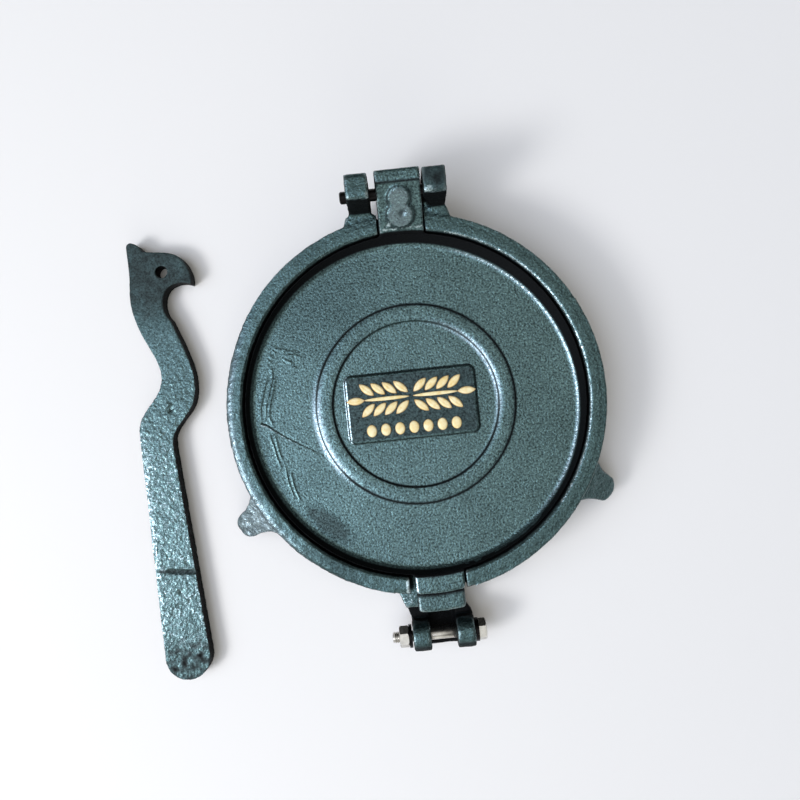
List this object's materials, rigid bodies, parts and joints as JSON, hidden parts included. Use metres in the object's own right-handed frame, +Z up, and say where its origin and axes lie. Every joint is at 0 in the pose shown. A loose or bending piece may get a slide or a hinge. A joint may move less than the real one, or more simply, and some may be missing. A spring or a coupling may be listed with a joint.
{
  "type": "roti maker",
  "caption": "Cast-iron roti press: round base with raised ring and feet, hinged pan lid with arm and tongue, front fork with bolt, and a flat bird-headed lever lying beside it.",
  "frame": {"origin": "on the table, under the centre of the two round plates", "axes": "+Z up, +Y from the fork to the hinge, +X to the right seen from the fork, with the loose lever at -X"},
  "size_m": [0.2488, 0.2482, 0.056],
  "materials": {
    "painted_casting": "dark green-black enamel over sand-cast grain, semi-gloss",
    "painted_lever": "dark green-black enamel over a coarse forged and cast surface, glossy on its high points",
    "pin_steel": "dark oiled steel",
    "zinc_steel": "bright zinc plated, satin"
  },
  "bodies": {
    "base": {"base": "painted_casting", "hinge_pin": "pin_steel"},
    "top_plate": {"top_plate": "painted_casting"},
    "pivot_bolt": {"pivot_bolt": "zinc_steel", "pivot_nut": "zinc_steel", "head_washer": "pin_steel", "nut_washer": "pin_steel"},
    "lever": {"lever": "painted_lever"}
  },
  "joints": [
    {"name": "lid_hinge", "type": "hinge", "parent": "base", "child": "top_plate", "pos_m": [0, 0.104, 0.042], "axis": [-1, 0, 0], "range_deg": [0, 105]},
    {"name": "pivot_bolt_turn", "type": "hinge", "parent": "base", "child": "pivot_bolt", "pos_m": [0, -0.1207, 0.016], "axis": [1, 0, 0], "continuous": true},
    {"name": "lever_lift", "type": "slide", "parent": "base", "child": "lever", "axis": [0, 0, 1], "range_m": [0, 0.12]}
  ]
}
